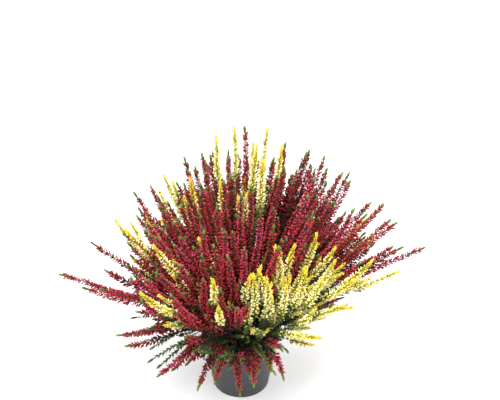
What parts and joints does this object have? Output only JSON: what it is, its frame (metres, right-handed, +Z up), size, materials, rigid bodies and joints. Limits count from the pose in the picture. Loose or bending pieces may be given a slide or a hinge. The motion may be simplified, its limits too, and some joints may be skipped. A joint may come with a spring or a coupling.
{
  "type": "potted heather",
  "caption": "Bushy heather in a round dark plastic pot: crimson and cream-yellow bud spikes fan out over short leafy green shoots that spill past the rim.",
  "frame": {"origin": "centre of the pot's foot, on the surface that the pot stands on", "axes": "+Z up along the pot's axis, -Y towards the viewer and the plant's shorter front, +X to the viewer's right"},
  "size_m": [0.4918, 0.385, 0.358],
  "materials": {
    "pot": "thin moulded slate-grey nursery plastic with a dull sheen",
    "peat": "moist dark peat and composted bark, matte and crumbly",
    "crimson_buds": "satin crimson buds with pinker tips on woody leafy shoots",
    "cream_buds": "satin cream-white buds and golden-yellow leafy tips on woody shoots",
    "foliage": "matte green scale leaves packed along thin stems"
  },
  "bodies": {
    "root": {"pot": "pot", "peat": "peat", "crimson_spray_01": "crimson_buds", "crimson_spray_02": "crimson_buds", "crimson_spray_03": "crimson_buds", "crimson_spray_04": "crimson_buds", "crimson_spray_05": "crimson_buds", "crimson_spray_06": "crimson_buds", "crimson_spray_07": "crimson_buds", "crimson_spray_08": "crimson_buds", "crimson_spray_09": "crimson_buds", "crimson_spray_10": "crimson_buds", "crimson_spray_11": "crimson_buds", "crimson_spray_12": "crimson_buds", "crimson_spray_13": "crimson_buds", "crimson_spray_14": "crimson_buds", "crimson_spray_15": "crimson_buds", "crimson_spray_16": "crimson_buds", "crimson_spray_17": "crimson_buds", "crimson_spray_18": "crimson_buds", "crimson_spray_19": "crimson_buds", "crimson_spray_20": "crimson_buds", "crimson_spray_21": "crimson_buds", "crimson_spray_22": "crimson_buds", "crimson_spray_23": "crimson_buds", "crimson_spray_24": "crimson_buds", "leafy_spray_01": "foliage", "leafy_spray_02": "foliage", "leafy_spray_03": "foliage", "leafy_spray_04": "foliage", "leafy_spray_05": "foliage", "leafy_spray_06": "foliage", "leafy_spray_07": "foliage", "leafy_spray_08": "foliage", "leafy_spray_09": "foliage", "leafy_spray_10": "foliage", "leafy_spray_11": "foliage", "leafy_spray_12": "foliage", "leafy_spray_13": "foliage", "leafy_spray_14": "foliage", "leafy_spray_15": "foliage", "leafy_spray_16": "foliage", "cream_spray_01": "cream_buds", "cream_spray_02": "cream_buds", "cream_spray_03": "cream_buds", "cream_spray_04": "cream_buds", "cream_spray_05": "cream_buds", "cream_spray_06": "cream_buds", "cream_spray_07": "cream_buds", "cream_spray_08": "cream_buds", "cream_spray_09": "cream_buds", "cream_spray_10": "cream_buds", "cream_spray_11": "cream_buds", "cream_spray_12": "cream_buds", "cream_spray_13": "cream_buds"}
  },
  "joints": []
}
